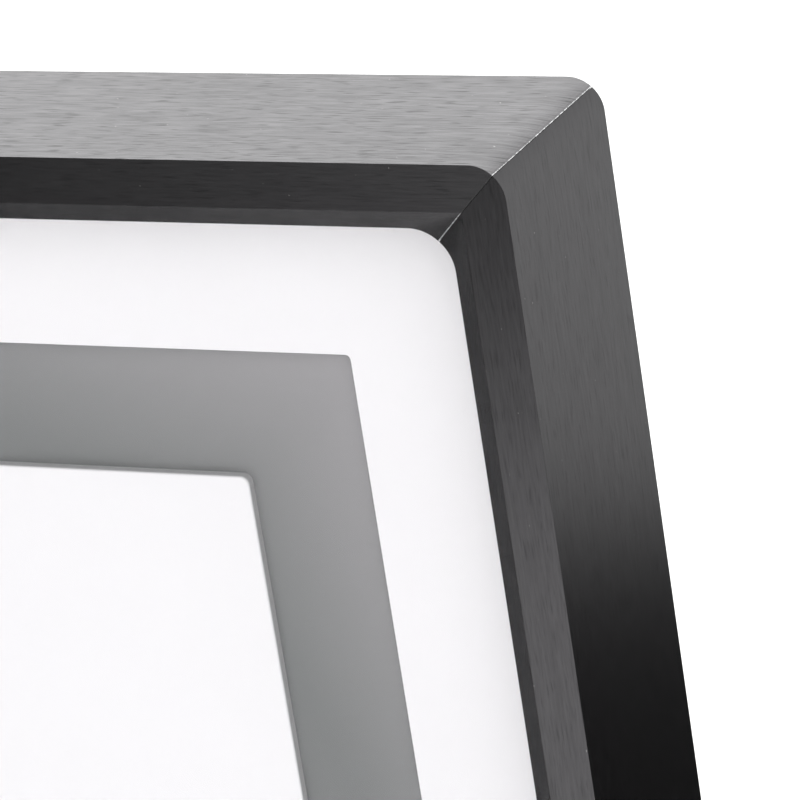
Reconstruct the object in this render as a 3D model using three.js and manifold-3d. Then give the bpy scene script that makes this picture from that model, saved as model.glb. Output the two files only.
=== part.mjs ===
// Deep aluminium floating frame for a 300 x 400 mm stack of boards, standing on its bottom rail.
// Millimetres. X runs to the right, Y from the front to the back, Z up.
// The origin is on the floor under the middle of the frame, half way through its depth.
import * as THREE from "three";
import { ConvexGeometry } from "three/addons/geometries/ConvexGeometry.js";
import { mergeVertices } from "three/addons/utils/BufferGeometryUtils.js";
import Module from "manifold-3d";

const wasm = await Module();
wasm.setup();

// Boards and glazing: their own sizes, and the air round and between them.
const boardWidth = 300;
const boardHeight = 400;
const boardClearance = 0.75;
const layerGap = 0.05;
const glazingThickness = 2;
const spacerDepth = 4.7;
const spacerWidth = 5;
const matThickness = 1.6;
const floatBoardThickness = 2;
const riserThickness = 0.4;
const panelThickness = 1;
const foamBoardThickness = 3;
const rearBoardThickness = 2;

// What shows inside the frame, from its opening inwards.
const matBorder = 22.7;
const windowRadius = 0.65;
const floatBorder = 19.45;
const panelRadius = 1.3;
const riserInset = 25;

// Rails.
const wall = 2.6;
const faceWidth = 10;
const flatFace = 6.9;
const bevelDepth = 1.8;
const flangeThickness = 3;
const frameDepth = 34;
const outerRadius = 5;
const openingRadius = 6.3;
const mitreGap = 0.05;

// Hardware channel along the inside of every rail.
const clipSpace = 2.2;
const channelWeb = 1.2;
const channelDepth = 2.8;
const channelInnerWall = 1.2;
const slotClearance = 0.15;

// Screws: all of one thread size, with air round it in every hole.
const screwRadius = 1.45;
const threadClearance = 0.1;
const screwSides = 16;

// Corner keys and their set screws.
const keyLength = 30;
const keyThickness = 1.5;
const backingThickness = 0.8;
const keySideClearance = 0.15;
const setScrewProud = 0.6;
const setScrewSocket = 0.75;
const setScrewSocketDepth = 1.2;
const setScrewFromKeyEnd = 6;

// Spring clips that push the boards forward.
const clipLength = 40;
const clipSideAir = 0.45;
const clipThickness = 0.5;
const clipPlay = 0.04;
const clipFromCorner = 75;

// Hangers: a plate on each side rail, screwed to nuts in the channel, with a D ring in its barrel.
const ringBarFromTop = 96;
const plateWidth = 24;
const plateHeight = 32;
const plateThickness = 1.2;
const plateCornerRadius = 2;
const plateFromWall = 0.8;
const hangerScrewSpacing = 18;
const hangerScrewFromPlateFoot = 6;
const headSideAir = 0.4;
const screwHeadHeight = 1.7;
const headSocket = 1.2;
const headSocketDepth = 1.2;
const nutThickness = 2;
const barrelRadius = 2.6;
const barrelLength = 10;
const ringWireRadius = 1.1;
const ringPlay = 0.25;
const ringSideAir = 0.5;
const ringHalfWidth = 8;
const ringLeg = 6;
const ringBend = 2.5;
const ringWeldGap = 0.4;
const ringSteps = 48;

// How finely round shapes are drawn, and how far a cut runs past what it cuts.
const arcSteps = 10;
const plateCornerSteps = 4;
const wireSides = 10;
const barSides = 20;
const overcut = 1;

// Worked out from the sizes above.
const rebateWidth = boardWidth + 2 * boardClearance;
const rebateHeight = boardHeight + 2 * boardClearance;
const frameWidth = rebateWidth + 2 * wall;
const frameHeight = rebateHeight + 2 * wall;
const openingWidth = frameWidth - 2 * faceWidth;
const openingHeight = frameHeight - 2 * faceWidth;
const windowWidth = openingWidth - 2 * matBorder;
const windowHeight = openingHeight - 2 * matBorder;
const panelWidth = windowWidth - 2 * floatBorder;
const panelHeight = windowHeight - 2 * floatBorder;
const middle = frameHeight / 2;

// Depths, all measured back from the front face.
const glazingFront = flangeThickness + layerGap;
const spacerFront = glazingFront + glazingThickness + layerGap;
const matFront = spacerFront + spacerDepth;
const floatBoardFront = matFront + matThickness + layerGap;
const riserFront = floatBoardFront - layerGap - riserThickness;
const panelFront = riserFront - layerGap - panelThickness;
const foamBoardFront = floatBoardFront + floatBoardThickness + layerGap;
const rearBoardFront = foamBoardFront + foamBoardThickness + layerGap;
const rearBoardBack = rearBoardFront + rearBoardThickness;
const channelFront = rearBoardBack + clipSpace;
const cavityFront = channelFront + channelWeb;
const cavityBack = cavityFront + channelDepth;
const channelBack = cavityBack + channelWeb;

// Distances in from a rail's outer face.
const cavityInner = faceWidth - channelInnerWall;
const slotMiddle = (wall + cavityInner) / 2;
const slotOuter = slotMiddle - screwRadius - slotClearance;
const slotInner = slotMiddle + screwRadius + slotClearance;
const nutSide = cavityInner - wall - 2 * keySideClearance;
const screwHeadRadius = slotMiddle - wall - headSideAir;
const clipWidth = faceWidth - wall - 2 * clipSideAir;
const ringMiddle = slotMiddle + screwHeadRadius + ringSideAir + ringWireRadius + ringHalfWidth;

const black = new THREE.MeshStandardMaterial({ color: 0x3a393b, roughness: 0.38, metalness: 1 });
const clear = new THREE.MeshStandardMaterial({
  color: 0xf4f8f7,
  roughness: 0.05,
  metalness: 0,
  transparent: true,
  opacity: 0.15,
});
const white = new THREE.MeshStandardMaterial({ color: 0xf6f5f4, roughness: 0.85, metalness: 0 });
const grey = new THREE.MeshStandardMaterial({ color: 0x939492, roughness: 0.6, metalness: 0 });
const brown = new THREE.MeshStandardMaterial({ color: 0x6d5138, roughness: 0.8, metalness: 0 });
const zinc = new THREE.MeshStandardMaterial({ color: 0xb9bcc0, roughness: 0.35, metalness: 1 });
const spring = new THREE.MeshStandardMaterial({ color: 0x5d6a7a, roughness: 0.3, metalness: 1 });

const frame = new THREE.Group();

function solidOf(geometry) {
  geometry.deleteAttribute("normal");
  geometry.deleteAttribute("uv");
  const merged = mergeVertices(geometry, 1e-5);
  return new wasm.Manifold(
    new wasm.Mesh({
      numProp: 3,
      vertProperties: new Float32Array(merged.attributes.position.array),
      triVerts: new Uint32Array(merged.index.array),
    }),
  );
}

function addPiece(name, solid, material) {
  const made = solid.getMesh();
  const indexed = new THREE.BufferGeometry();
  indexed.setAttribute("position", new THREE.BufferAttribute(made.vertProperties, 3));
  indexed.setIndex(new THREE.BufferAttribute(made.triVerts, 1));
  const geometry = indexed.toNonIndexed();
  geometry.computeVertexNormals();
  const mesh = new THREE.Mesh(geometry, material);
  mesh.name = name;
  frame.add(mesh);
}

// A flat outline in X and Z, made solid from one depth to another.
function prism(shape, from, to, curveSegments = arcSteps) {
  const geometry = new THREE.ExtrudeGeometry(shape, {
    depth: to - from,
    bevelEnabled: false,
    curveSegments,
  });
  geometry.rotateX(Math.PI / 2);
  geometry.translate(0, to - frameDepth / 2, 0);
  return solidOf(geometry);
}

function outline(points) {
  return new THREE.Shape(points.map(([x, z]) => new THREE.Vector2(x, z)));
}

function rectangle(width, height, centreX = 0, centreZ = middle) {
  const x = width / 2;
  const z = height / 2;
  return outline([
    [centreX - x, centreZ - z],
    [centreX + x, centreZ - z],
    [centreX + x, centreZ + z],
    [centreX - x, centreZ + z],
  ]);
}

function roundedRectangle(width, height, radius, centreX = 0, centreZ = middle) {
  const x = width / 2 - radius;
  const z = height / 2 - radius;
  const quarter = Math.PI / 2;
  const shape = new THREE.Shape();
  shape.absarc(centreX + x, centreZ - z, radius, -quarter, 0);
  shape.absarc(centreX + x, centreZ + z, radius, 0, quarter);
  shape.absarc(centreX - x, centreZ + z, radius, quarter, 2 * quarter);
  shape.absarc(centreX - x, centreZ - z, radius, 2 * quarter, 3 * quarter);
  return shape;
}

function polygon(x, z, radius, sides) {
  return outline(
    Array.from({ length: sides }, (_, i) => {
      const turn = (2 * Math.PI * i) / sides;
      return [x + radius * Math.cos(turn), z + radius * Math.sin(turn)];
    }),
  );
}

// The bevel cut round the opening: sharp at the front face, rounded where it meets the opening.
function bevelCut() {
  const points = [];
  const x = frameWidth / 2 - flatFace;
  const z = frameHeight / 2 - flatFace;
  for (const [sideX, sideZ] of [[1, 1], [-1, 1], [-1, -1], [1, -1]]) {
    for (const y of [-overcut, 0]) {
      points.push(new THREE.Vector3(sideX * x, y - frameDepth / 2, middle + sideZ * z));
    }
  }
  const inner = roundedRectangle(openingWidth, openingHeight, openingRadius);
  for (const corner of inner.getPoints(arcSteps)) {
    points.push(new THREE.Vector3(corner.x, bevelDepth - frameDepth / 2, corner.y));
  }
  return solidOf(new ConvexGeometry(points));
}

// The whole frame as one ring, before its four rails are parted at the mitres.
function ringOfRails() {
  const front = -overcut;
  const back = frameDepth + overcut;
  const rebate = rectangle(rebateWidth, rebateHeight);
  const cavityCore = rectangle(frameWidth - 2 * cavityInner, frameHeight - 2 * cavityInner);
  const slotEdge = rectangle(frameWidth - 2 * slotOuter, frameHeight - 2 * slotOuter);
  const slotCore = rectangle(frameWidth - 2 * slotInner, frameHeight - 2 * slotInner);
  const opening = roundedRectangle(openingWidth, openingHeight, openingRadius);
  const cavity = prism(rebate, cavityFront, cavityBack).subtract(
    prism(cavityCore, cavityFront - overcut, cavityBack + overcut),
  );
  const slot = prism(slotEdge, cavityBack - channelWeb / 2, channelBack + overcut).subtract(
    prism(slotCore, cavityBack - channelWeb, channelBack + 2 * overcut),
  );
  return prism(roundedRectangle(frameWidth, frameHeight, outerRadius), 0, frameDepth)
    .subtract(prism(opening, front, back))
    .subtract(bevelCut())
    .subtract(prism(rebate, flangeThickness, channelFront))
    .subtract(cavity)
    .subtract(slot)
    .subtract(prism(rebate, channelBack, back));
}

// Everything within reach of one rail, between the two mitre planes at its ends.
function railReach(side) {
  const reach = 2 * faceWidth;
  const halfGap = mitreGap / Math.SQRT2;
  const x = frameWidth / 2;
  const z = middle;
  const across = side === "top" || side === "bottom";
  const sign = side === "top" || side === "right" ? 1 : -1;
  const long = across ? x : z;
  const short = across ? z : x;
  const points = [
    [-(long + reach - halfGap), short + reach],
    [long + reach - halfGap, short + reach],
    [long - reach - halfGap, short - reach],
    [-(long - reach - halfGap), short - reach],
  ];
  return prism(
    outline(points.map(([a, b]) => (across ? [a, middle + sign * b] : [sign * b, middle + a]))),
    -overcut,
    frameDepth + overcut,
  );
}

function addRails() {
  const ring = ringOfRails();
  for (const side of ["top", "bottom", "left", "right"]) {
    addPiece(side + "_rail", ring.intersect(railReach(side)), black);
  }
}

// A slab of the stack, given by its outline and the depth of its front face.
function addBoard(name, shape, front, thickness, material) {
  addPiece(name, prism(shape, front, front + thickness), material);
}

function addSpacers() {
  const inset = boardWidth / 2 - spacerWidth / 2;
  const rise = boardHeight / 2 - spacerWidth / 2;
  const between = boardWidth - 2 * spacerWidth - 2 * layerGap;
  const depth = spacerDepth - layerGap;
  for (const [name, sign] of [["left_spacer", -1], ["right_spacer", 1]]) {
    addBoard(name, rectangle(spacerWidth, boardHeight, sign * inset), spacerFront, depth, white);
  }
  for (const [name, sign] of [["bottom_spacer", -1], ["top_spacer", 1]]) {
    const strip = rectangle(between, spacerWidth, 0, middle + sign * rise);
    addBoard(name, strip, spacerFront, depth, white);
  }
}

function addStack() {
  const full = rectangle(boardWidth, boardHeight);
  const panel = roundedRectangle(panelWidth, panelHeight, panelRadius);
  const riser = rectangle(panelWidth - 2 * riserInset, panelHeight - 2 * riserInset);
  const windowOutline = roundedRectangle(windowWidth, windowHeight, windowRadius);
  const window = prism(windowOutline, matFront - overcut, floatBoardFront + overcut);
  addBoard("glazing", full, glazingFront, glazingThickness, clear);
  addSpacers();
  addPiece("window_mat", prism(full, matFront, matFront + matThickness).subtract(window), white);
  addBoard("artwork_panel", panel, panelFront, panelThickness, white);
  addBoard("float_riser", riser, riserFront, riserThickness, white);
  addBoard("float_board", full, floatBoardFront, floatBoardThickness, grey);
  addBoard("foam_board", full, foamBoardFront, foamBoardThickness, white);
  addBoard("rear_board", full, rearBoardFront, rearBoardThickness, brown);
}

// Corner hardware is laid out from each outer corner, in from its two outer faces.
const corners = [
  ["top_left", -1, 1],
  ["top_right", 1, 1],
  ["bottom_left", -1, -1],
  ["bottom_right", 1, -1],
];

function fromCorner(sideX, sideZ, inX, inZ) {
  return [sideX * (frameWidth / 2 - inX), middle + sideZ * (frameHeight / 2 - inZ)];
}

function cornerAngle(sideX, sideZ, from, thickness) {
  const near = wall + keySideClearance;
  const far = cavityInner - keySideClearance;
  const end = near + keyLength;
  const bends = [[near, near], [end, near], [end, far], [far, far], [far, end], [near, end]];
  const shape = outline(bends.map(([inX, inZ]) => fromCorner(sideX, sideZ, inX, inZ)));
  return prism(shape, from, from + thickness);
}

function addCornerHardware() {
  const keyFront = cavityBack - keyThickness;
  const screwAlong = wall + keySideClearance + keyLength - setScrewFromKeyEnd;
  const screwFront = cavityFront + backingThickness;
  const screwBack = cavityBack + setScrewProud;
  for (const [name, sideX, sideZ] of corners) {
    let key = cornerAngle(sideX, sideZ, keyFront, keyThickness);
    const legs = [
      ["side", slotMiddle, screwAlong],
      ["end", screwAlong, slotMiddle],
    ];
    for (const [leg, inX, inZ] of legs) {
      const [x, z] = fromCorner(sideX, sideZ, inX, inZ);
      const hole = polygon(x, z, screwRadius + threadClearance, screwSides);
      key = key.subtract(prism(hole, keyFront - overcut, cavityBack + overcut));
      const hexagon = polygon(x, z, setScrewSocket, 6);
      const socket = prism(hexagon, screwBack - setScrewSocketDepth, screwBack + overcut);
      const body = prism(polygon(x, z, screwRadius, screwSides), screwFront, screwBack);
      addPiece(name + "_" + leg + "_set_screw", body.subtract(socket), spring);
    }
    addPiece(name + "_corner_key", key, zinc);
    addPiece(name + "_backing_angle", cornerAngle(sideX, sideZ, cavityFront, backingThickness), zinc);
  }
}

// A bowed strip: its ends bear on the channel and its crown on the rear board.
function bowOutline() {
  const height = clipSpace - clipPlay;
  const halfTurn = (4 * (height - clipThickness)) / clipLength;
  const radius = (height - clipThickness * Math.cos(halfTurn)) / (1 - Math.cos(halfTurn));
  const centre = height - radius;
  const shape = new THREE.Shape();
  const upright = Math.PI / 2;
  shape.absarc(0, centre, radius, upright + halfTurn, upright - halfTurn, true);
  shape.absarc(0, centre, radius - clipThickness, upright - halfTurn, upright + halfTurn, false);
  return shape;
}

function addClip(name, x, z, along) {
  const geometry = new THREE.ExtrudeGeometry(bowOutline(), {
    depth: clipWidth,
    bevelEnabled: false,
    curveSegments: arcSteps,
  });
  geometry.translate(0, 0, -clipWidth / 2);
  geometry.rotateX(Math.PI);
  if (along === "z") geometry.rotateY(Math.PI / 2);
  geometry.translate(x, channelFront - clipPlay / 2 - frameDepth / 2, z);
  addPiece(name, solidOf(geometry), spring);
}

function addClips() {
  const inward = (wall + faceWidth) / 2;
  const side = frameWidth / 2 - inward;
  const rise = middle - inward;
  const alongX = frameWidth / 2 - clipFromCorner;
  const alongZ = middle - clipFromCorner;
  for (const [end, sign] of [["top", 1], ["bottom", -1]]) {
    addClip(end + "_left_clip", -alongX, middle + sign * rise, "x");
    addClip(end + "_right_clip", alongX, middle + sign * rise, "x");
    addClip("left_" + end + "_clip", -side, middle + sign * alongZ, "z");
    addClip("right_" + end + "_clip", side, middle + sign * alongZ, "z");
  }
}

// The centre line of a D ring, from one side of the gap in its straight bar round to the other.
class RingLine extends THREE.Curve {
  constructor(centreX, centreY, barZ) {
    super();
    this.centre = new THREE.Vector3(centreX, centreY, barZ);
    const quarter = Math.PI / 2;
    const bendAt = ringHalfWidth - ringBend;
    this.path = new THREE.Path();
    this.path.moveTo(ringWeldGap / 2, 0);
    this.path.lineTo(bendAt, 0);
    this.path.absarc(bendAt, -ringBend, ringBend, quarter, 0, true);
    this.path.lineTo(ringHalfWidth, -ringLeg);
    this.path.absarc(0, -ringLeg, ringHalfWidth, 0, -2 * quarter, true);
    this.path.lineTo(-ringHalfWidth, -ringBend);
    this.path.absarc(-bendAt, -ringBend, ringBend, 2 * quarter, quarter, true);
    this.path.lineTo(-ringWeldGap / 2, 0);
  }

  getPoint(t, target = new THREE.Vector3()) {
    const point = this.path.getPoint(t);
    return target.set(point.x, 0, point.y).add(this.centre);
  }
}

// A round bar lying along X, given by its middle.
function roundBar(radius, length, x, y, z) {
  const geometry = new THREE.CylinderGeometry(radius, radius, length, barSides);
  geometry.rotateZ(Math.PI / 2);
  geometry.translate(x, y - frameDepth / 2, z);
  return solidOf(geometry);
}

function addHanger(side, sign) {
  const barZ = frameHeight - ringBarFromTop;
  const foot = barZ - plateHeight;
  const plateOuter = wall + plateFromWall;
  const plateX = sign * (frameWidth / 2 - plateOuter - plateWidth / 2);
  const barX = sign * (frameWidth / 2 - ringMiddle);
  const barY = channelBack + barrelRadius;
  const screwX = sign * (frameWidth / 2 - slotMiddle);
  const plateBack = channelBack + plateThickness;
  const headBack = plateBack + screwHeadHeight;
  const nutBack = cavityBack - layerGap;
  const nutFront = nutBack - nutThickness;
  const plateZ = foot + plateHeight / 2;
  const blank = roundedRectangle(plateWidth, plateHeight, plateCornerRadius, plateX, plateZ);
  const bore = ringWireRadius + ringPlay;
  let plate = prism(blank, channelBack, plateBack, plateCornerSteps)
    .add(roundBar(barrelRadius, barrelLength, barX, barY, barZ))
    .subtract(roundBar(bore, 2 * barrelLength, barX, barY, barZ));
  for (const [name, up] of [["lower", 0], ["upper", hangerScrewSpacing]]) {
    const screwZ = foot + hangerScrewFromPlateFoot + up;
    const hole = polygon(screwX, screwZ, screwRadius + threadClearance, screwSides);
    plate = plate.subtract(prism(hole, channelBack - overcut, plateBack + overcut));
    const nutSquare = rectangle(nutSide, nutSide, screwX, screwZ);
    const nutHole = prism(hole, nutFront - overcut, nutBack + overcut);
    const nut = prism(nutSquare, nutFront, nutBack).subtract(nutHole);
    const shaft = prism(polygon(screwX, screwZ, screwRadius, screwSides), nutFront, plateBack);
    const head = prism(polygon(screwX, screwZ, screwHeadRadius, screwSides), plateBack, headBack);
    const hexagon = polygon(screwX, screwZ, headSocket, 6);
    const socket = prism(hexagon, headBack - headSocketDepth, headBack + overcut);
    addPiece(side + "_" + name + "_slot_nut", nut, zinc);
    addPiece(side + "_" + name + "_hanger_screw", shaft.add(head).subtract(socket), zinc);
  }
  addPiece(side + "_hanger_plate", plate, zinc);

  const geometry = new THREE.ExtrudeGeometry(polygon(0, 0, ringWireRadius, wireSides), {
    steps: ringSteps,
    bevelEnabled: false,
    extrudePath: new RingLine(barX, barY - frameDepth / 2, barZ),
  });
  addPiece(side + "_hanger_ring", solidOf(geometry), zinc);
}

addRails();
addStack();
addCornerHardware();
addClips();
addHanger("left", -1);
addHanger("right", 1);

export default frame;
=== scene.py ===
import math

import bpy
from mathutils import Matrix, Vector


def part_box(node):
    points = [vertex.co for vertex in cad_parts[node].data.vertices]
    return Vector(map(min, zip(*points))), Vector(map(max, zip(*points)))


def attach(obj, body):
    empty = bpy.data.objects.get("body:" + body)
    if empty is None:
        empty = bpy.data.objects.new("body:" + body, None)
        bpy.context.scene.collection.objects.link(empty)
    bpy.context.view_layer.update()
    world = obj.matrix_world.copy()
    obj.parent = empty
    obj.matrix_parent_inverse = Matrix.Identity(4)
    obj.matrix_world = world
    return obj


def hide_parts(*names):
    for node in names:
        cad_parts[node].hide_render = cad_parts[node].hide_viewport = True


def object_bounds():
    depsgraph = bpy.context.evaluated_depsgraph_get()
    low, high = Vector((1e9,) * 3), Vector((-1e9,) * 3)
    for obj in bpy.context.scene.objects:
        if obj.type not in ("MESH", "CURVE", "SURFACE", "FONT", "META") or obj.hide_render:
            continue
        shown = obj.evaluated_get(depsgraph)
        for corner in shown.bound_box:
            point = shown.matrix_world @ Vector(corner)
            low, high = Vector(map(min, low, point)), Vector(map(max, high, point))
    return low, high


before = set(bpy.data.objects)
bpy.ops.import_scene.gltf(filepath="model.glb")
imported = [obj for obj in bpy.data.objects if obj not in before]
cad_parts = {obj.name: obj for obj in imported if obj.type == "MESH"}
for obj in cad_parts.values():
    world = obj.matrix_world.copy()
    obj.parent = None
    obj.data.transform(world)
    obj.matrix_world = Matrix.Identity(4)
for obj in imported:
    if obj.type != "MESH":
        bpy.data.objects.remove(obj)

# Deep black aluminium picture frame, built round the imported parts. Lengths in metres.
mm = 0.001
cadLow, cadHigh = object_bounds()
middle = (cadLow + cadHigh) / 2


# camera, studio and light

cameraPlace = {
    "spot": (0.45385, -0.61249, 0.64273),
    "turn": (67.9463, 8.3723, 24.9545),  # degrees
    "lens": 239.913,
    "sensor": 36,
    "near": 0.01,
    "far": 60,
}

studio = {
    "floorSize": 24,
    "floorColour": (0.93, 0.93, 0.93),
    "floorRoughness": 0.9,
    "backdrop": 1.0,
    # brightness by height of the direction, from straight down (-1) to straight up (1)
    "frontLight": [(-1, 1.5), (-0.385, 2.1), (-0.35, 0.3), (0, 0.3), (0.5, 0.9), (1, 1.2)],
    "leftLight": [(-1, 0.2), (0.1, 0.18), (1, 1.2)],
    "backLight": [
        (-1, 0.02), (-0.409, 0.02), (-0.386, 0.78), (-0.3, 0.9), (0.12, 1.1), (0.22, 2.3), (1, 2.3),
    ],
    "leftToFront": (-0.55, -0.25),  # where the dark left gives way to the front, as X of the direction
    "frontToBack": (-0.1, 0.3),  # and the front to the back, as its Y
    "brightest": 3.0,
}


def makeCamera():
    data = bpy.data.cameras.new("camera")
    data.lens = cameraPlace["lens"]
    data.sensor_width = cameraPlace["sensor"]
    data.clip_start = cameraPlace["near"]
    data.clip_end = cameraPlace["far"]
    camera = bpy.data.objects.new("camera", data)
    camera.location = cameraPlace["spot"]
    camera.rotation_euler = [math.radians(angle) for angle in cameraPlace["turn"]]
    bpy.context.scene.collection.objects.link(camera)
    bpy.context.scene.camera = camera


def heightRamp(nodes, links, height, stops):
    top = studio["brightest"]
    span = nodes.new("ShaderNodeMapRange")
    span.inputs["From Min"].default_value = -1
    links.new(height, span.inputs["Value"])
    ramp = nodes.new("ShaderNodeValToRGB")
    ramp.color_ramp.interpolation = "EASE"
    marks = ramp.color_ramp.elements
    while len(marks) < len(stops):
        marks.new(0.5)
    for mark, (place, light) in zip(marks, stops):
        mark.position = (place + 1) / 2
        mark.color = (light / top, light / top, light / top, 1)
    links.new(span.outputs["Result"], ramp.inputs["Fac"])
    return ramp.outputs["Color"]


def fadeAcross(nodes, links, value, limits, first, second):
    turn = nodes.new("ShaderNodeMapRange")
    turn.interpolation_type = "SMOOTHSTEP"
    turn.inputs["From Min"].default_value = limits[0]
    turn.inputs["From Max"].default_value = limits[1]
    links.new(value, turn.inputs["Value"])
    blend = nodes.new("ShaderNodeMix")
    blend.data_type = "RGBA"
    links.new(turn.outputs["Result"], blend.inputs["Factor"])
    links.new(first, blend.inputs[6])
    links.new(second, blend.inputs[7])
    return blend.outputs[2]


def makeWorld():
    world = bpy.data.worlds.new("studio")
    bpy.context.scene.world = world
    world.use_nodes = True
    nodes = world.node_tree.nodes
    links = world.node_tree.links
    nodes.clear()
    direction = nodes.new("ShaderNodeTexCoord")
    parts = nodes.new("ShaderNodeSeparateXYZ")
    links.new(direction.outputs["Generated"], parts.inputs["Vector"])
    left, front, back = (
        heightRamp(nodes, links, parts.outputs["Z"], studio[side])
        for side in ("leftLight", "frontLight", "backLight")
    )
    front = fadeAcross(nodes, links, parts.outputs["X"], studio["leftToFront"], left, front)
    allRound = fadeAcross(nodes, links, parts.outputs["Y"], studio["frontToBack"], front, back)
    room = nodes.new("ShaderNodeBackground")
    room.inputs["Strength"].default_value = studio["brightest"]
    links.new(allRound, room.inputs["Color"])
    seen = nodes.new("ShaderNodeBackground")
    seen.inputs["Color"].default_value = (1, 1, 1, 1)
    seen.inputs["Strength"].default_value = studio["backdrop"]
    path = nodes.new("ShaderNodeLightPath")
    choose = nodes.new("ShaderNodeMixShader")
    links.new(path.outputs["Is Camera Ray"], choose.inputs["Fac"])
    links.new(room.outputs["Background"], choose.inputs[1])
    links.new(seen.outputs["Background"], choose.inputs[2])
    output = nodes.new("ShaderNodeOutputWorld")
    links.new(choose.outputs["Shader"], output.inputs["Surface"])


softboxes = {
    # azimuth 0 is straight in front, positive to the right; height above the horizon
    "key": {"azimuth": 16, "height": 46.5, "distance": 1.0, "size": 0.55, "watts": 1.1},
    "overhead": {"azimuth": 150, "height": 70, "distance": 2.2, "size": 1.8, "watts": 10},
}


def makeSoftboxes():
    for name, box in softboxes.items():
        azimuth = math.radians(box["azimuth"])
        height = math.radians(box["height"])
        away = Vector((
            math.sin(azimuth) * math.cos(height),
            -math.cos(azimuth) * math.cos(height),
            math.sin(height),
        ))
        data = bpy.data.lights.new(name, "AREA")
        data.shape = "SQUARE"
        data.size = box["size"]
        data.energy = box["watts"]
        lamp = bpy.data.objects.new(name, data)
        lamp.location = middle + away * box["distance"]
        lamp.rotation_euler = away.to_track_quat("Z", "Y").to_euler()
        lamp.visible_glossy = False
        bpy.context.scene.collection.objects.link(lamp)


# working by hand: picking, cutting and finishing

aligned = 0.9  # directions nearer to parallel than this count as parallel
crossing = 0.5  # and further from it than this as square to each other
hair = 0.01 * mm  # picks what lies on a face and nothing behind it


def clearPick():
    if bpy.context.object and bpy.context.object.mode != "OBJECT":
        bpy.ops.object.mode_set(mode="OBJECT")
    bpy.ops.object.select_all(action="DESELECT")


def makeActive(piece):
    clearPick()
    piece.select_set(True)
    bpy.context.view_layer.objects.active = piece


def placeInMesh(piece):
    makeActive(piece)
    bpy.ops.object.transform_apply(location=True, rotation=True, scale=True)


def pick(piece, kind, test=None):
    # leaves the piece in edit mode with what passes the test picked, or everything
    makeActive(piece)
    mesh = piece.data
    for group in (mesh.vertices, mesh.edges, mesh.polygons):
        group.foreach_set("select", [False] * len(group))
    if kind == "VERT":
        for vertex in mesh.vertices:
            vertex.select = test is None or test(vertex.co)
    elif kind == "EDGE":
        for edge in mesh.edges:
            start, end = (mesh.vertices[i].co for i in edge.vertices)
            edge.select = test is None or test((start + end) / 2, (end - start).normalized())
    else:
        for face in mesh.polygons:
            face.select = test is None or test(face.center, face.normal)
    bpy.context.tool_settings.mesh_select_mode = (kind == "VERT", kind == "EDGE", kind == "FACE")
    bpy.ops.object.mode_set(mode="EDIT")


def leaveEdit():
    bpy.ops.object.mode_set(mode="OBJECT")


def makeBlock(name, low, high):
    clearPick()
    size = Vector(high) - Vector(low)
    bpy.ops.mesh.primitive_cube_add(size=1, location=(Vector(low) + Vector(high)) / 2, scale=size)
    block = bpy.context.object
    block.name = name
    placeInMesh(block)
    return block


def roundUprights(piece, radius, steps=16):
    # rounds the four corners of a block as seen from the front
    pick(piece, "EDGE", lambda centre, way: abs(way.y) > aligned)
    bpy.ops.mesh.bevel(offset=radius, offset_type="OFFSET", segments=steps, affect="EDGES")
    leaveEdit()


def makeRod(name, radius, start, end, sides=48):
    # a round rod between two points
    start, end = Vector(start), Vector(end)
    clearPick()
    bpy.ops.mesh.primitive_cylinder_add(
        vertices=sides,
        radius=radius,
        depth=(end - start).length,
        location=(start + end) / 2,
        rotation=(end - start).to_track_quat("Z", "Y").to_euler(),
    )
    rod = bpy.context.object
    rod.name = name
    placeInMesh(rod)
    return rod


def applyModifiers(piece):
    makeActive(piece)
    for modifier in list(piece.modifiers):
        bpy.ops.object.modifier_apply(modifier=modifier.name)


def cutAway(piece, cutter, operation="DIFFERENCE"):
    knife = piece.modifiers.new("cut", "BOOLEAN")
    knife.operation = operation
    knife.solver = "EXACT"
    knife.object = cutter
    applyModifiers(piece)
    bpy.data.objects.remove(cutter)


def mergeDoubles(piece, within=0.002 * mm):
    pick(piece, "VERT")
    bpy.ops.mesh.remove_doubles(threshold=within)
    bpy.ops.mesh.normals_make_consistent(inside=False)
    leaveEdit()


def easeEdges(piece, width, steps=2, angle=30):
    ease = piece.modifiers.new("eased edges", "BEVEL")
    ease.width = width
    ease.segments = steps
    ease.limit_method = "ANGLE"
    ease.angle_limit = math.radians(angle)
    applyModifiers(piece)


def shadeWell(piece, angle=35):
    # smooth rounds, with flat faces kept flat
    makeActive(piece)
    bpy.ops.object.shade_smooth_by_angle(angle=math.radians(angle))
    even = piece.modifiers.new("even normals", "WEIGHTED_NORMAL")
    even.keep_sharp = True
    applyModifiers(piece)


def giveMaterial(piece, index, test):
    pick(piece, "FACE", test)
    piece.active_material_index = index
    bpy.ops.object.material_slot_assign()
    leaveEdit()


def pieceName(node):
    first, *rest = node.split("_")
    return first + "".join(word.capitalize() for word in rest)


def copyPiece(piece, name, shift=(0, 0, 0)):
    twin = piece.copy()
    twin.data = piece.data.copy()
    twin.name = name
    bpy.context.scene.collection.objects.link(twin)
    pick(twin, "VERT")
    bpy.ops.transform.translate(value=shift)
    leaveEdit()
    return twin


def settle(piece, body, slot, material, *nodes):
    if material is not None:
        piece.data.materials.clear()
        piece.data.materials.append(material)
    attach(piece, body)
    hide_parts(*nodes)


# finishes

def newMaterial(name, colour, metallic, roughness):
    material = bpy.data.materials.new(name)
    material.use_nodes = True
    shader = material.node_tree.nodes["Principled BSDF"]
    shader.inputs["Base Color"].default_value = (*colour, 1)
    shader.inputs["Metallic"].default_value = metallic
    shader.inputs["Roughness"].default_value = roughness
    return material, material.node_tree.nodes, material.node_tree.links, shader


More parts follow.
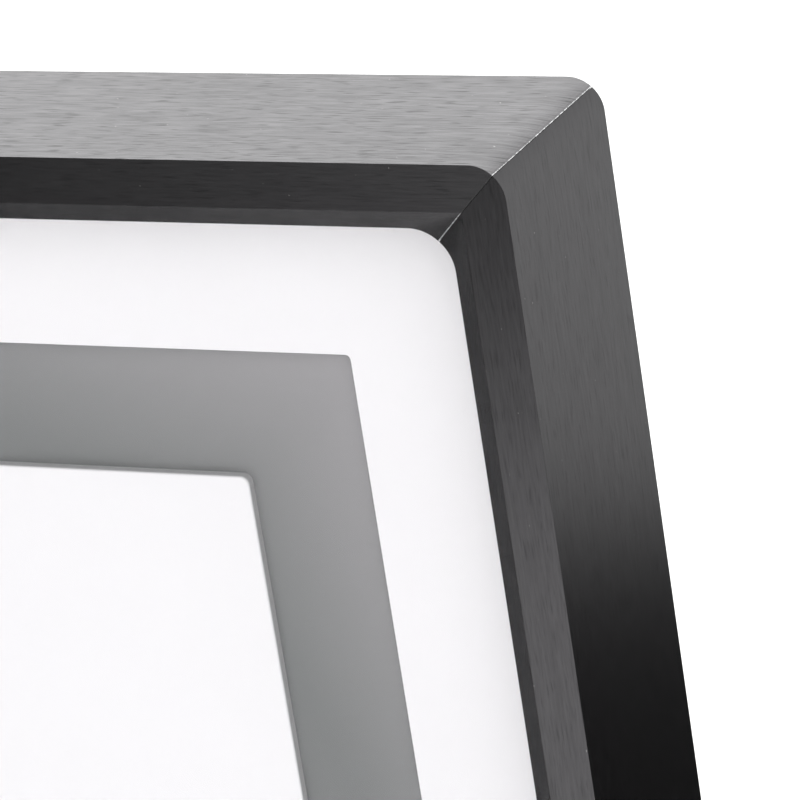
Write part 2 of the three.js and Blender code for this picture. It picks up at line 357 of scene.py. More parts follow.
def placeOf(nodes, links, scale=(1, 1, 1), uvMap=None, centre=(0, 0, 0)):
    # where the pattern is laid: the piece's own map, or its place in the frame
    mapping = nodes.new("ShaderNodeMapping")
    mapping.inputs["Scale"].default_value = scale
    mapping.inputs["Location"].default_value = -Vector(centre)
    if uvMap:
        source = nodes.new("ShaderNodeUVMap")
        source.uv_map = uvMap
        links.new(source.outputs["UV"], mapping.inputs["Vector"])
    else:
        source = nodes.new("ShaderNodeTexCoord")
        links.new(source.outputs["Object"], mapping.inputs["Vector"])
    return mapping.outputs["Vector"]


def noise(nodes, links, scale, detail=2, rough=0.5, uvMap=None):
    # scale is in repeats a metre, one for all axes or one for each
    if isinstance(scale, (int, float)):
        scale = [scale] * 3
    texture = nodes.new("ShaderNodeTexNoise")
    texture.inputs["Scale"].default_value = 1
    texture.inputs["Detail"].default_value = detail
    texture.inputs["Roughness"].default_value = rough
    links.new(placeOf(nodes, links, scale, uvMap), texture.inputs["Vector"])
    return texture.outputs["Fac"]


def remap(nodes, links, value, low, high, start=0.3, end=0.7):
    span = nodes.new("ShaderNodeMapRange")
    span.inputs["From Min"].default_value = start
    span.inputs["From Max"].default_value = end
    span.inputs["To Min"].default_value = low
    span.inputs["To Max"].default_value = high
    links.new(value, span.inputs["Value"])
    return span.outputs["Result"]


def plugIn(links, socket, value):
    # a socket takes either another socket's value or one of its own
    if isinstance(value, bpy.types.NodeSocket):
        links.new(value, socket)
    else:
        socket.default_value = value


def mixColours(nodes, links, factor, first, second):
    blend = nodes.new("ShaderNodeMix")
    blend.data_type = "RGBA"
    links.new(factor, blend.inputs["Factor"])
    for socket, colour in ((blend.inputs[6], first), (blend.inputs[7], second)):
        isSocket = isinstance(colour, bpy.types.NodeSocket)
        plugIn(links, socket, colour if isSocket else (*colour, 1))
    return blend.outputs[2]


def addBump(nodes, links, shader, height, distance):
    bump = nodes.new("ShaderNodeBump")
    bump.inputs["Distance"].default_value = distance
    bump.inputs["Strength"].default_value = 1
    links.new(height, bump.inputs["Height"])
    links.new(bump.outputs["Normal"], shader.inputs["Normal"])


def joinValues(nodes, links, operation, first, second=0, third=0):
    join = nodes.new("ShaderNodeMath")
    join.operation = operation
    for socket, value in zip(join.inputs, (first, second, third)):
        plugIn(links, socket, value)
    return join.outputs[0]


def addUp(nodes, links, first, second, share):
    return joinValues(nodes, links, "MULTIPLY_ADD", second, share, first)


def gapTo(nodes, links, place, edge):
    # how far in from an edge on both sides of the middle
    return joinValues(nodes, links, "SUBTRACT", edge, joinValues(nodes, links, "ABSOLUTE", place))


brushed = {
    "tone": (0.1005, 0.0985, 0.1020),
    "swing": 0.34,  # how far a streak strays from the tone, as a share of it
    "dash": 0.72,  # and how much darker the short dashes are
    "streakWidth": 0.26 * mm,
    "streakLength": 4.5 * mm,
    # layers of noise: how many streaks wide and long, its detail and its roughness
    "streaks": (2.2, 1.6, 3, 0.6),
    "fine": (1 / 2.2, 1 / 1.3, 1, 0.5),
    "broad": (14, 9, 2, 0.5),
    "dashes": (1.6, 0.9, 1, 0.5),
    "fineShare": 0.5,
    "broadShare": 0.3,
    "toneSpan": (0.70, 1.10),  # noise that runs from dark to light
    "dashSpan": (0.58, 0.72),  # noise that fades a dash in
    "levelSpan": (0.6, 0.9),  # upward lean over which the painted sheen makes the streaks stronger
    "uprightShare": 0.36,  # how strong they are on faces that don't lie level, out of the painted sheen
    "nick": (0.42, 0.41, 0.40),
    "nickSize": 0.3 * mm,
    "nickSpan": (0.885, 0.905),
    "roughness": 0.22,
    "roughSpan": (-0.02, 0.03),
    "spread": 0.95,  # how far the shine spreads across the grain
    "depth": 0.002 * mm,
}


def grainLayer(nodes, links, layer):
    width, length, detail, rough = brushed[layer]
    across = 1 / brushed["streakWidth"] / width
    along = 1 / brushed["streakLength"] / length
    return noise(nodes, links, (across, along, 1), detail, rough, "grain")


def brushedBlack():
    roughness = brushed["roughness"]
    material, nodes, links, shader = newMaterial("blackBrushedAluminium", brushed["tone"], 1, roughness)
    fine = grainLayer(nodes, links, "fine")
    grain = addUp(nodes, links, grainLayer(nodes, links, "streaks"), fine, brushed["fineShare"])
    grain = addUp(nodes, links, grain, grainLayer(nodes, links, "broad"), brushed["broadShare"])
    tone = remap(nodes, links, grain, -0.5, 0.5, *brushed["toneSpan"])
    dashes = remap(nodes, links, grainLayer(nodes, links, "dashes"), 0, 1, *brushed["dashSpan"])
    # painted sheen: the streaks are painted stronger on faces that lie level, standing in for how the light
    # brings them out there
    facing = nodes.new("ShaderNodeSeparateXYZ")
    links.new(nodes.new("ShaderNodeTexCoord").outputs["Normal"], facing.inputs["Vector"])
    level = joinValues(nodes, links, "ABSOLUTE", facing.outputs["Z"])
    level = remap(nodes, links, level, brushed["uprightShare"], 1, *brushed["levelSpan"])
    tone = joinValues(nodes, links, "MULTIPLY_ADD", tone, level, 0.5)
    dashes = joinValues(nodes, links, "MULTIPLY", dashes, level)
    dark, light, dash = (
        [part * (1 + shift) for part in brushed["tone"]]
        for shift in (-brushed["swing"], brushed["swing"], -brushed["dash"])
    )
    colour = mixColours(nodes, links, tone, dark, light)
    colour = mixColours(nodes, links, dashes, colour, dash)
    nicks = noise(nodes, links, 1 / brushed["nickSize"], 0)
    nicks = remap(nodes, links, nicks, 0, 1, *brushed["nickSpan"])
    links.new(mixColours(nodes, links, nicks, colour, brushed["nick"]), shader.inputs["Base Color"])
    rough = remap(nodes, links, fine, *(roughness + shift for shift in brushed["roughSpan"]))
    links.new(rough, shader.inputs["Roughness"])
    shader.inputs["Anisotropic"].default_value = brushed["spread"]
    tangent = nodes.new("ShaderNodeTangent")
    tangent.direction_type = "UV_MAP"
    tangent.uv_map = "grain"
    links.new(tangent.outputs["Tangent"], shader.inputs["Tangent"])
    addBump(nodes, links, shader, grain, brushed["depth"])
    return material


bareMetal = {
    "colour": (0.60, 0.60, 0.61),
    "metallic": 0.4,
    "roughness": 0.4,
    "chips": 2600,  # a metre
    "chipFade": 0.14,
    # where chips begin in the noise, so how broken the line is, and the film's own grey between them
    "bare": ("bareAluminium", 0.41, 0.1),
    "flecked": ("fleckedAluminium", 0.66, 0.045),
}


def bareAluminium(kind):
    # the saw cut at a mitre, where the black film is gone, in a line that breaks up here and there
    name, broken, film = bareMetal[kind]
    metal = bareMetal["colour"]
    material, nodes, links, shader = newMaterial(name, metal, bareMetal["metallic"], bareMetal["roughness"])
    chips = noise(nodes, links, bareMetal["chips"])
    tone = remap(nodes, links, chips, 0, 1, broken, broken + bareMetal["chipFade"])
    links.new(mixColours(nodes, links, tone, [film] * 3, metal), shader.inputs["Base Color"])
    return material


# name, colour, shade, size and depth of the fibres, roughness
papers = {
    # a grey painted as shadow on the mat's cut window edges
    "core": ("greyCutEdgeShade", (0.20, 0.20, 0.205), (0.155, 0.155, 0.16), 0.2 * mm, 0.01 * mm, 0.8),
    "mat": ("whiteMatBoard", (0.905, 0.887, 0.912), (0.87, 0.853, 0.877), 0.22 * mm, 0.012 * mm, 0.8),
    "panel": ("whitePanel", (0.887, 0.871, 0.894), (0.867, 0.851, 0.874), 0.14 * mm, 0.006 * mm, 0.65),
    "foam": ("whiteFoamBoard", (0.9, 0.9, 0.89), (0.84, 0.84, 0.83), 0.5 * mm, 0.03 * mm, 0.8),
    "plastic": ("whiteSpacerPlastic", (0.88, 0.88, 0.87), (0.84, 0.84, 0.83), 0.8 * mm, 0.008 * mm, 0.5),
}
paperPattern = {"clouds": 22, "cloudShare": 0.6, "span": (0.55, 1.0), "ior": 1.4}


def paper(name, colour, shade, grainSize, depth, roughness):
    # board and paper: fibres that lift a little, and a slightly uneven tone
    material, nodes, links, shader = newMaterial(name, colour, 0, roughness)
    fibres = noise(nodes, links, 1 / grainSize, 4, 0.65)
    clouds = noise(nodes, links, paperPattern["clouds"])
    tone = addUp(nodes, links, fibres, clouds, paperPattern["cloudShare"])
    tone = remap(nodes, links, tone, 0, 1, *paperPattern["span"])
    links.new(mixColours(nodes, links, tone, shade, colour), shader.inputs["Base Color"])
    addBump(nodes, links, shader, fibres, depth)
    shader.inputs["IOR"].default_value = paperPattern["ior"]
    return material


boards = {
    "windowInset": 29.35 * mm,  # from the mat's edge to its window
    "windowRadius": 0.65 * mm,
    "panelRadius": 1.3 * mm,
    "cutEdge": 0.16 * mm,
    "panelRound": 0.3 * mm,
    "panelRim": 0.45 * mm,  # how far its edges reach back past its sheet, round the riser
    # the grey of the painted shade on the panel's turned edge and sides
    "panelEdgeShade": (0.41, 0.405, 0.415),
    "spacerEdge": 0.12 * mm,
    "boardEdge": 0.3 * mm,
    "glassEdge": 0.25 * mm,
    "spacerWall": 0.9 * mm,
    "spacerGroove": 3.2 * mm,
}

greyPaintedShading = {
    # satin grey with painted light: a painted sheen, palest at its corners and by the window, and painted
    # shade, deeper beside the panel
    "pale": (0.318, 0.303, 0.319),
    "deep": (0.148, 0.152, 0.155),
    "bandWidth": 19.5 * mm,  # from the window's edge in to the panel
    "blend": 1 / 3,  # how softly two bands meet in a corner, as a share of their width
    "cornerSheenReach": (4 * mm, 68 * mm),
    "panelShadeShare": 0.56,
    "cornerSheenShare": 0.62,
    "tooth": 5200,  # a metre
    "clouds": 30,
    "cloudShare": 0.7,
    "mottle": 0.05,
    "roughness": (0.4, 0.5),
    "depth": 0.004 * mm,
}


def greyBoard():
    material, nodes, links, shader = newMaterial(
        "satinGreyBoard", greyPaintedShading["pale"], 0, greyPaintedShading["roughness"][0]
    )
    tooth = noise(nodes, links, greyPaintedShading["tooth"], 3, 0.6)
    clouds = noise(nodes, links, greyPaintedShading["clouds"])
    low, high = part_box("window_mat")
    place = nodes.new("ShaderNodeSeparateXYZ")
    links.new(placeOf(nodes, links, centre=(low + high) / 2), place.inputs["Vector"])
    inset = boards["windowInset"]
    sideGap = gapTo(nodes, links, place.outputs["X"], (high.x - low.x) / 2 - inset)
    endGap = gapTo(nodes, links, place.outputs["Z"], (high.z - low.z) / 2 - inset)
    band = greyPaintedShading["bandWidth"]
    nearest = joinValues(nodes, links, "SMOOTH_MIN", sideGap, endGap, band * greyPaintedShading["blend"])
    farthest = joinValues(nodes, links, "SMOOTH_MAX", sideGap, endGap, band * greyPaintedShading["blend"])
    # painted shade, deepening from the window's edge in to the panel
    across = remap(nodes, links, nearest, 0, greyPaintedShading["panelShadeShare"], 0, band)
    # painted sheen, fading away from the corners
    along = remap(nodes, links, farthest, 0, greyPaintedShading["cornerSheenShare"], *greyPaintedShading["cornerSheenReach"])
    mottle = addUp(nodes, links, tooth, clouds, greyPaintedShading["cloudShare"])
    mottle = remap(nodes, links, mottle, -greyPaintedShading["mottle"], greyPaintedShading["mottle"])
    deep = addUp(nodes, links, across, along, 1)
    deep = addUp(nodes, links, deep, mottle, 1)
    colour = mixColours(nodes, links, deep, greyPaintedShading["pale"], greyPaintedShading["deep"])
    links.new(colour, shader.inputs["Base Color"])
    links.new(remap(nodes, links, tooth, *greyPaintedShading["roughness"]), shader.inputs["Roughness"])
    addBump(nodes, links, shader, tooth, greyPaintedShading["depth"])
    return material


glass = {
    "colour": (0.9, 0.93, 0.92),
    "alpha": 0.04,
    "ior": 1.25,
    "smears": (14, 14, 9),
    "roughness": (0.02, 0.06),
}


def clearGlazing():
    material, nodes, links, shader = newMaterial("clearGlazing", glass["colour"], 0, glass["roughness"][0])
    shader.inputs["Alpha"].default_value = glass["alpha"]
    shader.inputs["IOR"].default_value = glass["ior"]
    smears = noise(nodes, links, glass["smears"], 3)
    links.new(remap(nodes, links, smears, *glass["roughness"]), shader.inputs["Roughness"])
    return material


brownBoard = {
    "dark": (0.095, 0.052, 0.026),
    "light": (0.25, 0.15, 0.08),
    "fibres": (1500, 1500, 420),
    "flecks": (260, 260, 700),
    "clouds": 9,
    "fleckShare": 0.7,
    "cloudShare": 0.6,
    "span": (0.75, 1.45),
    "roughness": (0.55, 0.8),
    "depth": 0.03 * mm,
}


def hardboard():
    material, nodes, links, shader = newMaterial(
        "brownHardboard", brownBoard["dark"], 0, brownBoard["roughness"][1]
    )
    fibres = noise(nodes, links, brownBoard["fibres"], 5, 0.7)
    flecks = noise(nodes, links, brownBoard["flecks"], 3, 0.6)
    clouds = noise(nodes, links, brownBoard["clouds"], 3)
    tone = addUp(nodes, links, fibres, flecks, brownBoard["fleckShare"])
    tone = addUp(nodes, links, tone, clouds, brownBoard["cloudShare"])
    tone = remap(nodes, links, tone, 0, 1, *brownBoard["span"])
    colour = mixColours(nodes, links, tone, brownBoard["dark"], brownBoard["light"])
    links.new(colour, shader.inputs["Base Color"])
    links.new(remap(nodes, links, flecks, *brownBoard["roughness"]), shader.inputs["Roughness"])
    addBump(nodes, links, shader, fibres, brownBoard["depth"])
    return material


# name, dark, light, roughness, size and depth of the grain
steels = {
    "zinc": ("zincPlatedSteel", (0.42, 0.43, 0.45), (0.72, 0.73, 0.75), 0.33, 0.35 * mm, 0.006 * mm),
    "nickel": ("nickelPlatedSteel", (0.5, 0.49, 0.47), (0.78, 0.77, 0.74), 0.2, 0.8 * mm, 0.002 * mm),
    "black": ("blackenedSteel", (0.03, 0.03, 0.032), (0.085, 0.085, 0.09), 0.35, 0.35 * mm, 0.006 * mm),
    "spring": ("bluedSpringSteel", (0.10, 0.115, 0.14), (0.24, 0.27, 0.32), 0.28, 1.2 * mm, 0.003 * mm),
}
steelPattern = {"rubbed": 240, "rubbedShare": 0.8, "span": (0.65, 1.15), "roughSpan": (-0.06, 0.1)}


def platedSteel(name, dark, light, roughness, grainSize, depth):
    # plated, blackened or blued steel: fine spangle with rubbed patches
    material, nodes, links, shader = newMaterial(name, light, 1, roughness)
    spangle = noise(nodes, links, 1 / grainSize, 3, 0.55)
    rubbed = noise(nodes, links, steelPattern["rubbed"])
    tone = addUp(nodes, links, spangle, rubbed, steelPattern["rubbedShare"])
    tone = remap(nodes, links, tone, 0, 1, *steelPattern["span"])
    links.new(mixColours(nodes, links, tone, dark, light), shader.inputs["Base Color"])
    rough = remap(nodes, links, rubbed, *(roughness + shift for shift in steelPattern["roughSpan"]))
    links.new(rough, shader.inputs["Roughness"])
    addBump(nodes, links, shader, spangle, depth)
    return material


finishes = {
    "rail": brushedBlack(),
    "bare": bareAluminium("bare"),
    "flecked": bareAluminium("flecked"),
    "grey": greyBoard(),
    "glazing": clearGlazing(),
    "hardboard": hardboard(),
}
for finish, values in papers.items():
    finishes[finish] = paper(*values)
for finish, values in steels.items():
    finishes[finish] = platedSteel(*values)


def shadePanelEdge():
    # painted shade: the panel's white face is painted down to a grey as its edge turns over and along its
    # sides, standing in for the shade at its rounded edge
    nodes = finishes["panel"].node_tree.nodes
    links = finishes["panel"].node_tree.links
    colour = nodes["Principled BSDF"].inputs["Base Color"]
    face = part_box("artwork_panel")[0].y
    place = nodes.new("ShaderNodeSeparateXYZ")
    links.new(placeOf(nodes, links), place.inputs["Vector"])
    edgeShade = remap(nodes, links, place.outputs["Y"], 0, 1, face, face + boards["panelRound"])
    links.new(mixColours(nodes, links, edgeShade, colour.links[0].from_socket, boards["panelEdgeShade"]), colour)


shadePanelEdge()
print("finishes ready:", len(finishes))


# rails

rail = {
    "wall": 2.6 * mm,
    "faceWidth": 10 * mm,
    "flatFace": 6.9 * mm,
    "bevelDepth": 1.8 * mm,
    "flange": 3 * mm,
    "outerRadius": 5 * mm,
    "openingRadius": 6.3 * mm,
    "channelFront": 20.75 * mm,
    "cavityFront": 21.95 * mm,
    "cavityBack": 24.75 * mm,
    "channelBack": 25.95 * mm,
    "cavityInner": 8.8 * mm,
    "slotOuter": 4.1 * mm,
    "slotInner": 7.3 * mm,
    "mitreGap": 0.08 * mm,
    "easedEdge": 0.2 * mm,
    "bareStrip": 0.12 * mm,  # width of the bare line beside each mitre
    "grainShift": 1.7,  # keeps the brushing of a side apart from its face's
    "cornerLean": 0.85,  # how far the outer corner's normals lean to the flat side's
    "bevelLean": 0.72,  # and the bevel's round corner's to the straight bevel's
    "bevelTurn": 0.12,  # how far the bevel's normal turns at its rounded corner, in Y
    "overcut": 2 * mm,  # how far a cutter reaches past what it cuts
}

# which face is which, by how far its normal points along Y
flatFacing = 0.97  # the flat strip by more than this
bevelFacing = 0.6  # the bevel by more than this
sideFacing = 0.3  # the sides by less than this


def frameBlock(name, inset, front, back, radius=0):
    # as wide and high as the frame less an inset all round, between two depths
    block = makeBlock(
        name,
        (cadLow.x + inset, cadLow.y + front, cadLow.z + inset),
        (cadHigh.x - inset, cadLow.y + back, cadHigh.z - inset),
    )
    if radius:
        roundUprights(block, radius)
    return block


def frameRing(name, inset, width, front, back):
    # a square ring: both faces of a block inset, then bridged through
    ring = frameBlock(name, inset, front, back)
    pick(ring, "FACE", lambda centre, normal: abs(normal.y) > aligned)
    bpy.ops.mesh.inset(thickness=width)
    bpy.ops.mesh.bridge_edge_loops()
    leaveEdit()
    return ring


def bevelCutter():
    # sharp at the front face, rounded where it meets the opening
    cutter = frameBlock("bevel cutter", rail["flatFace"], -rail["overcut"], 0)
    foot = frameBlock("foot", rail["faceWidth"], 0, rail["bevelDepth"], rail["openingRadius"])
    clearPick()
    foot.select_set(True)
    cutter.select_set(True)
    bpy.context.view_layer.objects.active = cutter
    bpy.ops.object.join()
    pick(cutter, "VERT")
    bpy.ops.mesh.convex_hull()
    leaveEdit()
    return cutter


def makeRing():
    depth = cadHigh.y - cadLow.y
    past = rail["overcut"]
    ring = frameBlock("ring", 0, 0, depth, rail["outerRadius"])
    cutAway(ring, frameBlock("opening", rail["faceWidth"], -past, depth + past, rail["openingRadius"]))
    cutAway(ring, bevelCutter())
    cutAway(ring, frameBlock("rebate", rail["wall"], rail["flange"], rail["channelFront"]))
    cutAway(ring, frameBlock("recess", rail["wall"], rail["channelBack"], depth + past))
    cavityWidth = rail["cavityInner"] - rail["wall"]
    cutAway(ring, frameRing("cavity", rail["wall"], cavityWidth, rail["cavityFront"], rail["cavityBack"]))
    slotWidth = rail["slotInner"] - rail["slotOuter"]
    slotFront = rail["cavityBack"] - mm / 2
    slotBack = rail["channelBack"] + mm / 2
    cutAway(ring, frameRing("slot", rail["slotOuter"], slotWidth, slotFront, slotBack))
    easeEdges(ring, rail["easedEdge"])
    return ring


def layGrain(piece, alongAxis):
    # one map for the brushing: U runs across the grain and V along it
    acrossAxis = 2 if alongAxis == 0 else 0
    layer = piece.data.uv_layers.new(name="grain")
    for loop in piece.data.loops:
        spot = piece.data.vertices[loop.vertex_index].co
        layer.data[loop.index].uv = (spot.y + rail["grainShift"] * spot[acrossAxis], spot[alongAxis])


sameSpot = 1e-7  # finer than the finest edge that a mitre crosses


def cutMitre(piece, corner, away, bare):
    # parts the ring at one mitre plane, and scores a line for the bare metal beside the cut
    pick(piece, "FACE")
    bpy.ops.mesh.bisect(
        plane_co=corner - away * rail["mitreGap"] / 2,
        plane_no=away,
        use_fill=True,
        clear_outer=True,
        threshold=sameSpot,
    )
    leaveEdit()
    if not bare:
        return
    inner = corner - away * (rail["mitreGap"] / 2 + rail["bareStrip"])
    pick(piece, "FACE")
    bpy.ops.mesh.bisect(plane_co=inner, plane_no=away, threshold=sameSpot)
    leaveEdit()

    reach = rail["bareStrip"] * 0.98  # short of the cut's own face

    def isBeside(centre):
        return 0 < (centre - inner).dot(away) < reach

    def isBare(centre, normal):
        outside = abs(normal.y) < sideFacing and normal.dot(centre - middle) > 0
        bevelled = -flatFacing < normal.y < -bevelFacing
        return isBeside(centre) and (outside or bevelled)

    giveMaterial(piece, 1, isBare)
    giveMaterial(piece, 2, lambda centre, normal: isBeside(centre) and normal.y < -flatFacing)


def leanNormals(piece, out):
    # brushing evens the light round the corners, so they shade nearly like their rail's flat side and bevel
    mesh = piece.data
    bevelWidth = rail["faceWidth"] - rail["flatFace"]
    bevel = (Vector((0, -bevelWidth, 0)) - out * rail["bevelDepth"]).normalized()
    normals = []
    for corner in mesh.corner_normals:
        normal = Vector(corner.vector)
        if abs(normal.y) < sideFacing and normal.dot(out) > sideFacing:
            normal = normal.lerp(out, rail["cornerLean"]).normalized()
        elif abs(normal.y - bevel.y) < rail["bevelTurn"]:
            normal = normal.lerp(bevel, rail["bevelLean"]).normalized()
        normals.append(normal)
    mesh.normals_split_custom_set(normals)


def makeRails():
    ring = makeRing()
    slant = 0.5 ** 0.5  # both parts of a unit step at 45 degrees
    # which way each rail lies from the middle
    sides = {"top": (0, 1), "bottom": (0, -1), "left": (-1, 0), "right": (1, 0)}
    for side, (outX, outZ) in sides.items():
        piece = copyPiece(ring, side + "Rail")
        piece.data.materials.clear()
        for finish in ("rail", "bare", "flecked"):
            piece.data.materials.append(finishes[finish])
        for hand in (-1, 1):
            cornerX = outX if outX else hand
            cornerZ = outZ if outZ else hand
            corner = Vector((cadHigh.x * cornerX, middle.y, middle.z + (cadHigh.z - middle.z) * cornerZ))
            # normal of the mitre plane, pointing away from this rail
            awayX = cornerX if outZ else -cornerX
            awayZ = cornerZ if outX else -cornerZ
            away = Vector((awayX * slant, 0, awayZ * slant))
            cutMitre(piece, corner, away, bare=bool(outZ))
        layGrain(piece, 0 if outZ else 2)
        shadeWell(piece)
        leanNormals(piece, Vector((outX, 0, outZ)))
        settle(piece, "frame", "rail_black", None, side + "_rail")
    bpy.data.objects.remove(ring)


makeCamera()
makeWorld()
makeSoftboxes()
print("camera and light ready")
makeRails()
print("rails ready")


# boards

def shadeCutEdges(piece, isCut):
    # painted shadow: the cut sides of a board and their eased edges are painted grey, standing in for the
    # thin shadow along the cut edge
    piece.data.materials.append(finishes["core"])
    giveMaterial(piece, 1, isCut)


def makeBoard(name, node, slot, finish, edge, steps=2):
    board = makeBlock(name, *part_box(node))
    easeEdges(board, edge, steps)
    shadeWell(board)
    settle(board, "frame", slot, finishes[finish], node)


def makeWindowMat():
    low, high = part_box("window_mat")
    inset = Vector((boards["windowInset"], -2 * mm, boards["windowInset"]))
    mat = makeBlock("windowMat", low, high)
    window = makeBlock("window", low + inset, high - inset)
    roundUprights(window, boards["windowRadius"], steps=8)
    cutAway(mat, window)
    easeEdges(mat, boards["cutEdge"], steps=1)
    shadeWell(mat)
    settle(mat, "frame", "white_mat", finishes["mat"], "window_mat")
    centre = (low + high) / 2
    reach = (high - low) / 2 - inset * 0.9  # just outside the window

    def isWindow(spot, normal):
        away = spot - centre
        return abs(normal.y) < aligned and abs(away.x) < reach.x and abs(away.z) < reach.z

    shadeCutEdges(mat, isWindow)


def makePanel():
    # its front edge is rounded over all the way round, and its rim reaches back round the riser
    low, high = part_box("artwork_panel")
    rim = Vector((0, boards["panelRim"], 0))
    panel = makeBlock("artworkPanel", low, high + rim)
    roundUprights(panel, boards["panelRadius"])
    riserLow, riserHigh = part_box("float_riser")
    room = Vector((mm / 2, 0, mm / 2))
    pocketLow = Vector((riserLow.x, high.y, riserLow.z)) - room
    cutAway(panel, makeBlock("pocket", pocketLow, riserHigh + room + rim))
    pick(panel, "EDGE", lambda centre, way: centre.y < low.y + hair and abs(way.y) < crossing)
    bpy.ops.mesh.bevel(offset=boards["panelRound"], offset_type="OFFSET", segments=8, affect="EDGES")
    leaveEdit()
    shadeWell(panel)
    settle(panel, "frame", "white_panel", finishes["panel"], "artwork_panel")


def makeSpacers():
    # hollow strips: the face towards the middle is inset and pushed in
    toMiddle = {"top": (0, 0, -1), "bottom": (0, 0, 1), "left": (1, 0, 0), "right": (-1, 0, 0)}
    for side, way in toMiddle.items():
        inward = Vector(way)
        node = side + "_spacer"
        strip = makeBlock(side + "Spacer", *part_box(node))
        pick(strip, "FACE", lambda centre, normal: normal.dot(inward) > aligned)
        bpy.ops.mesh.inset(thickness=boards["spacerWall"])
        bpy.ops.mesh.extrude_region_move(TRANSFORM_OT_translate={"value": -inward * boards["spacerGroove"]})
        leaveEdit()
        easeEdges(strip, boards["spacerEdge"])
        shadeWell(strip)
        settle(strip, "frame", "white_spacer", finishes["plastic"], node)


makeWindowMat()
makeSpacers()
makePanel()
makeBoard("floatBoard", "float_board", "grey_board", "grey", boards["boardEdge"])
makeBoard("rearBoard", "rear_board", "rear_board", "hardboard", boards["boardEdge"], steps=3)
makeBoard("foamBoard", "foam_board", "white_foam", "foam", boards["boardEdge"])
makeBoard("glazingSheet", "glazing", "clear_glazing", "glazing", boards["glassEdge"], steps=1)
print("boards ready")


# hangers and screws

hanger = {
    "plate": 1.2 * mm,
    "plateCorner": 2 * mm,
    "barrelRadius": 2.6 * mm,
    "barrelLength": 10 * mm,
    "barrelTurn": 296,  # degrees the tab is rolled
    "easedEdge": 0.2 * mm,
    "screwHole": 1.55 * mm,
    "wire": 1.1 * mm,
    "ringHalfWidth": 8 * mm,
    "ringLeg": 6 * mm,
    "ringBend": 2.5 * mm,
    "ringGap": 0.4 * mm,
    "headHeight": 1.7 * mm,
    "headDome": 0.7 * mm,
    "shaft": 1.45 * mm,
    "socket": 1.2 * mm,
    "socketDepth": 1.2 * mm,
    "screwEdge": 0.06 * mm,
    "overlap": 0.2 * mm,  # how far the shaft reaches into the head
}


def barOf(side):
    # the middle of the bar that a ring swings on
    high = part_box(side + "_hanger_plate")[1]
    ringLow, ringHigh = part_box(side + "_hanger_ring")
    radius = hanger["barrelRadius"]
    return Vector(((ringLow.x + ringHigh.x) / 2, high.y - radius, high.z - radius))


def makeHangerPlate(side):
    low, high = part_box(side + "_hanger_plate")
    bar = barOf(side)
    back = low.y + hanger["plate"]
    plate = makeBlock(side + "HangerPlate", low, (high.x, back, bar.z))
    roundUprights(plate, hanger["plateCorner"], steps=8)
    # a tab in the middle of its top edge, rolled round the ring's bar
    reach = hanger["barrelLength"] / 2
    tab = makeBlock("tab", (bar.x - reach, low.y, bar.z - 2 * reach), (bar.x + reach, back, bar.z))
    pick(tab, "FACE", lambda centre, normal: normal.z > aligned)
    bpy.ops.mesh.spin(steps=30, angle=math.radians(hanger["barrelTurn"]), center=bar, axis=(1, 0, 0))
    leaveEdit()
    mergeDoubles(tab)
    cutAway(plate, tab, "UNION")
    for end in ("lower", "upper"):
        screwLow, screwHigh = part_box(f"{side}_{end}_hanger_screw")
        spot = (screwLow + screwHigh) / 2
        cutAway(plate, makeRod(
            "hole", hanger["screwHole"], (spot.x, low.y - mm, spot.z), (spot.x, back + mm, spot.z)
        ))
    easeEdges(plate, hanger["easedEdge"])
    shadeWell(plate)
    settle(plate, "frame", "zinc_steel", finishes["zinc"], side + "_hanger_plate")


def bendWire(name, radius, start, moves):
    # a round wire that starts along X: each move goes straight by a vector, or turns about a centre
    clearPick()
    bpy.ops.mesh.primitive_circle_add(
        vertices=20, radius=radius, fill_type="NGON", location=start, rotation=(0, math.radians(90), 0)
    )
    wire = bpy.context.object
    wire.name = name
    placeInMesh(wire)
    pick(wire, "FACE")
    for kind, value, turn, steps in moves:
        if kind == "straight":
            bpy.ops.mesh.extrude_region_move(TRANSFORM_OT_translate={"value": value})
        else:
            bpy.ops.mesh.spin(steps=steps, angle=math.radians(turn), center=value, axis=(0, -1, 0))
    leaveEdit()
    mergeDoubles(wire)
    return wire


def makeHangerRing(side):
    bar = barOf(side)
    half, leg, bend, gap = (hanger[key] for key in ("ringHalfWidth", "ringLeg", "ringBend", "ringGap"))
    across = half - bend - gap / 2
    down = leg - bend
    moves = [
        ("straight", (across, 0, 0), 0, 0),
        ("bend", bar + Vector((half - bend, 0, -bend)), 90, 8),
        ("straight", (0, 0, -down), 0, 0),
        ("bend", bar + Vector((0, 0, -leg)), 180, 32),
        ("straight", (0, 0, down), 0, 0),
        ("bend", bar + Vector((bend - half, 0, -bend)), 90, 8),
        ("straight", (across, 0, 0), 0, 0),
    ]
    ring = bendWire(side + "HangerRing", hanger["wire"], bar + Vector((gap / 2, 0, 0)), moves)
    shadeWell(ring, angle=50)
    settle(ring, side + "_ring", "ring_steel", finishes["nickel"], side + "_hanger_ring")


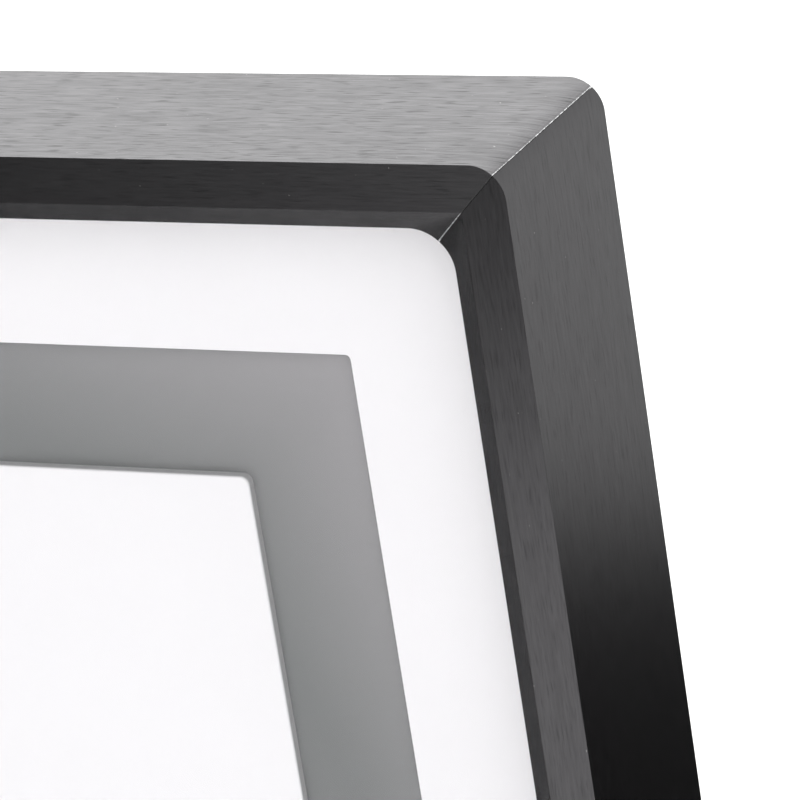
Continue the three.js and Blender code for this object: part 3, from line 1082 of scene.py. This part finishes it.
def makeHangerScrew(name, spot, front, back, headRadius):
    # domed head with a hexagon socket, on its shaft
    under = back - hanger["headHeight"]
    screw = makeRod(name, headRadius, (spot.x, under, spot.z), (spot.x, back, spot.z))
    pick(screw, "EDGE", lambda centre, way: centre.y > back - hair)
    bpy.ops.mesh.bevel(offset=hanger["headDome"], segments=5, affect="EDGES")
    leaveEdit()
    floor = back - hanger["socketDepth"]
    cutAway(screw, makeRod(
        "socket", hanger["socket"], (spot.x, floor, spot.z), (spot.x, back + mm, spot.z), sides=6
    ))
    shaftEnd = under + hanger["overlap"]
    shaft = makeRod("shaft", hanger["shaft"], (spot.x, front, spot.z), (spot.x, shaftEnd, spot.z))
    cutAway(screw, shaft, "UNION")
    easeEdges(screw, hanger["screwEdge"], steps=1, angle=40)
    shadeWell(screw)
    return screw


def makeHangerScrews():
    # modelled once, then copied to the other three
    first = None
    for side in ("left", "right"):
        for end in ("lower", "upper"):
            node = f"{side}_{end}_hanger_screw"
            low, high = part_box(node)
            spot = (low + high) / 2
            name = pieceName(node)
            if first is None:
                screw = makeHangerScrew(name, spot, low.y, high.y, (high.x - low.x) / 2)
                first, firstSpot = screw, spot
            else:
                screw = copyPiece(first, name, spot - firstSpot)
            settle(screw, "frame", "zinc_steel", finishes["zinc"], node)


setScrew = {
    "radius": 1.45 * mm,
    "chamfer": 0.25 * mm,
    "socket": 0.75 * mm,
    "socketDepth": 1.2 * mm,
}


def makeSetScrew(name, spot, front, back):
    # a grub screw without its thread: chamfered ends, with a hexagon socket in the back one
    screw = makeRod(name, setScrew["radius"], (spot.x, front, spot.z), (spot.x, back, spot.z))
    pick(screw, "EDGE", lambda centre, way: abs(way.y) < crossing)
    bpy.ops.mesh.bevel(offset=setScrew["chamfer"], segments=1, affect="EDGES")
    leaveEdit()
    floor = back - setScrew["socketDepth"]
    cutAway(screw, makeRod(
        "socket", setScrew["socket"], (spot.x, floor, spot.z), (spot.x, back + mm, spot.z), sides=6
    ))
    shadeWell(screw)
    return screw


def makeSetScrews():
    # modelled once, then copied to the other seven
    first = None
    for corner in ("top_left", "top_right", "bottom_left", "bottom_right"):
        for leg in ("side", "end"):
            node = f"{corner}_{leg}_set_screw"
            low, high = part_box(node)
            spot = (low + high) / 2
            if first is None:
                screw = makeSetScrew(pieceName(node), spot, low.y, high.y)
                first, firstSpot = screw, spot
            else:
                screw = copyPiece(first, pieceName(node), spot - firstSpot)
            settle(screw, "frame", "dark_steel", finishes["black"], node)


for side in ("left", "right"):
    makeHangerPlate(side)
    makeHangerRing(side)
makeHangerScrews()
makeSetScrews()
print("hangers and screws ready")


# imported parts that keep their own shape

keptFinishes = {
    "_corner_key": "zinc",
    "_backing_angle": "zinc",
    "_slot_nut": "zinc",
    "_clip": "spring",
    "float_riser": "foam",
}


def finishKeptParts():
    for ending, finish in keptFinishes.items():
        for name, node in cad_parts.items():
            if name.endswith(ending):
                node.data.materials.clear()
                node.data.materials.append(finishes[finish])


finishKeptParts()


# floor

def makeFloor():
    clearPick()
    bpy.ops.mesh.primitive_plane_add(size=studio["floorSize"], location=(0, 0, cadLow.z))
    floor = bpy.context.object
    floor.name = "floor"
    finish = newMaterial("paleFloor", studio["floorColour"], 0, studio["floorRoughness"])[0]
    floor.data.materials.append(finish)
    floor.visible_glossy = False


makeFloor()
bpy.context.scene.view_settings.view_transform = "Standard"
